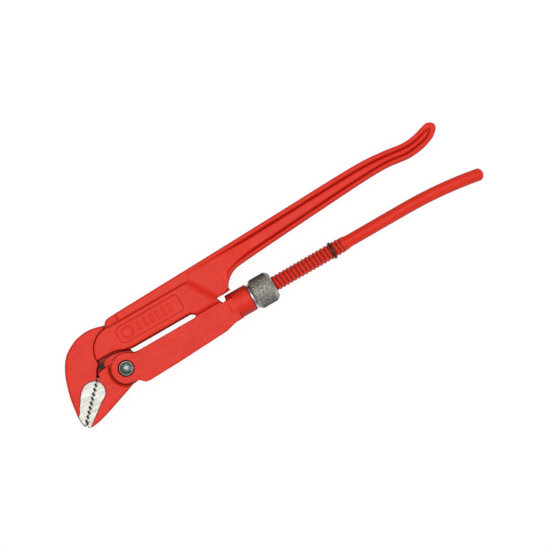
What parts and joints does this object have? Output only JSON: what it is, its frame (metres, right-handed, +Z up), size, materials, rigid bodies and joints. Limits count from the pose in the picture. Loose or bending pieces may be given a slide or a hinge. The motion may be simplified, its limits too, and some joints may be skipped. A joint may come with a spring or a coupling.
{
  "type": "pipe wrench",
  "caption": "Swedish-pattern corner pipe wrench with slanted toothed jaws, a swivelling lower jaw and a knurled adjusting nut on its threaded lower handle.",
  "frame": {"origin": "Centre of the part's footprint when the wrench lies on its side, on the surface it rests on; Z = 0 is the underside of the nut.", "axes": "+X runs along the threaded rod from the jaws to the handles, +Y runs in the plane of the tool from the round lower handle towards the long handle, +Z is up through the thickness of the tool."},
  "size_m": [0.4203, 0.0855, 0.0284],
  "materials": {
    "jaw_enamel": "glossy red enamel over forged steel, with ground bare steel beside the teeth",
    "leg_enamel": "glossy red enamel over forged steel",
    "nut_steel": "diamond knurled grey steel",
    "washer_steel": "turned bright steel",
    "rivet_steel": "plain worn steel",
    "ring_steel": "dark oxidised steel"
  },
  "bodies": {
    "hook_leg": {"hook_jaw": "jaw_enamel", "threaded_handle": "leg_enamel", "stop_ring": "ring_steel"},
    "nut_seat": {"thrust_washer": "washer_steel"},
    "nut": {"adjusting_nut": "nut_steel"},
    "handle_housing": {"long_handle": "leg_enamel", "jaw_fork": "leg_enamel", "jaw_rivet": "rivet_steel"},
    "swivel_jaw": {"lower_jaw": "jaw_enamel"}
  },
  "joints": [
    {"name": "jaw_adjust", "type": "slide", "parent": "hook_leg", "child": "nut_seat", "axis": [1, 0, 0], "range_m": [0, 0.057]},
    {"name": "nut_turn", "type": "hinge", "parent": "nut_seat", "child": "nut", "pos_m": [-0.011, -0.0134, 0.0142], "axis": [1, 0, 0], "continuous": true},
    {"name": "handle_rock", "type": "hinge", "parent": "nut_seat", "child": "handle_housing", "pos_m": [-0.00745, -0.0134, 0.0142], "axis": [0, 0, 1], "range_deg": [0, 1]},
    {"name": "jaw_swivel", "type": "hinge", "parent": "handle_housing", "child": "swivel_jaw", "pos_m": [-0.151, -0.0125, 0.0142], "axis": [0, 0, 1], "range_deg": [0, 5]}
  ],
  "couplings": [
    {"joint": "nut_turn", "follows": "jaw_adjust", "rad_per_m": 1653.5}
  ]
}
